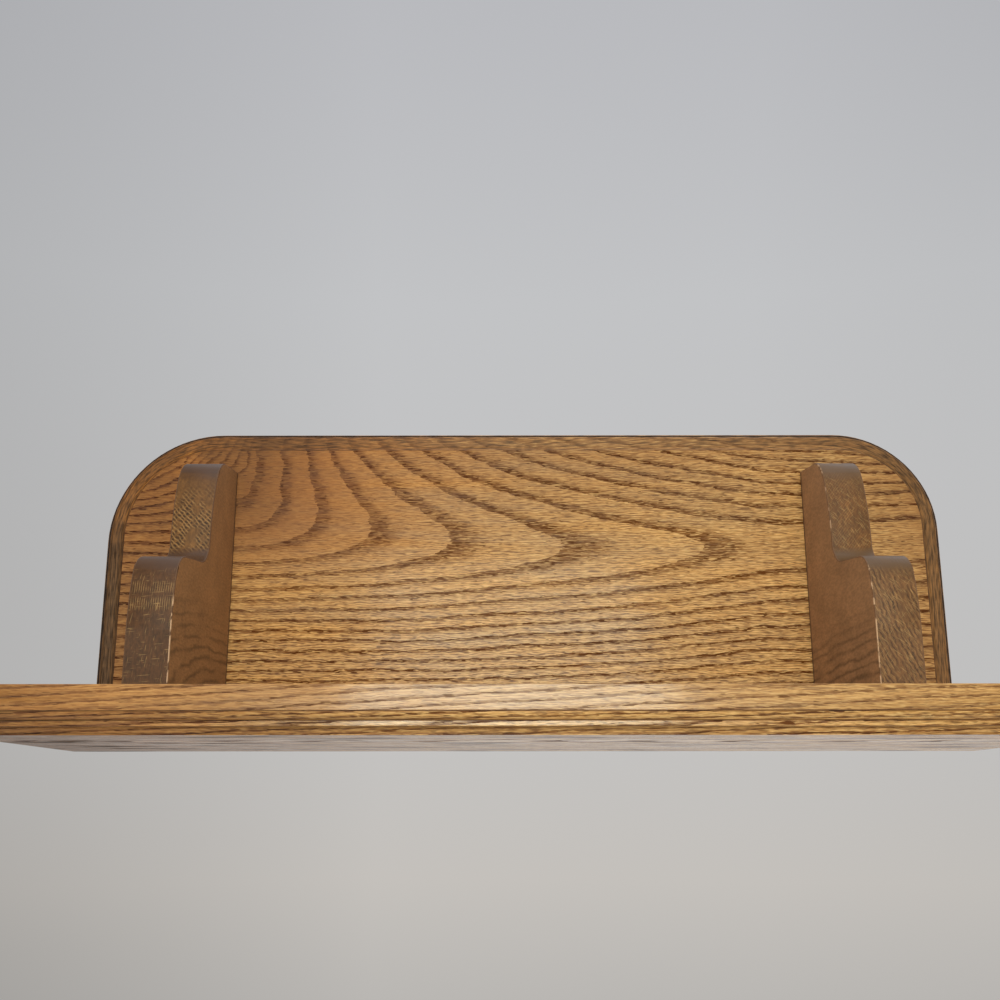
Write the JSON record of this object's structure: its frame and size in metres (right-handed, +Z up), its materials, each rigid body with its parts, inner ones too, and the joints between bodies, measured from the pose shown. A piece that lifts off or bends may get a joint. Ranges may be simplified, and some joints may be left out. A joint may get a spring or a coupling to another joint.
{
  "type": "wall shelf",
  "caption": "Small wooden wall shelf: a board with a moulded edge, an upright back board with rounded corners and two shaped brackets, hung from keyhole plates.",
  "frame": {"origin": "on the wall plane, which is the rear face of the back board, midway between the centres of the two keyhole hangers' entry holes", "axes": "+X to the right along the shelf board as seen from the front, +Y into the wall, +Z up"},
  "size_m": [0.4806, 0.1524, 0.1651],
  "materials": {
    "oak_shelf": "honey-stained flat-sawn oak, gloss varnish",
    "oak_back": "honey-stained flat-sawn oak, gloss varnish",
    "oak_bracket": "honey-stained oak with sawn end grain, gloss varnish",
    "dowel_wood": "plain turned hardwood, unfinished",
    "hanger_steel": "zinc-plated pressed steel",
    "screw_steel": "zinc-plated steel screws"
  },
  "bodies": {
    "root": {"shelf_board": "oak_shelf", "back_board": "oak_back", "bracket_left": "oak_bracket", "bracket_right": "oak_bracket", "back_dowel_1": "dowel_wood", "back_dowel_2": "dowel_wood", "back_dowel_3": "dowel_wood", "back_dowel_4": "dowel_wood", "left_dowel_rear": "dowel_wood", "left_dowel_front": "dowel_wood", "right_dowel_rear": "dowel_wood", "right_dowel_front": "dowel_wood", "left_screw_lower": "screw_steel", "left_screw_upper": "screw_steel", "right_screw_lower": "screw_steel", "right_screw_upper": "screw_steel", "hanger_left": "hanger_steel", "hanger_right": "hanger_steel", "hanger_left_screw_lower": "screw_steel", "hanger_left_screw_upper": "screw_steel", "hanger_right_screw_lower": "screw_steel", "hanger_right_screw_upper": "screw_steel"}
  },
  "joints": []
}
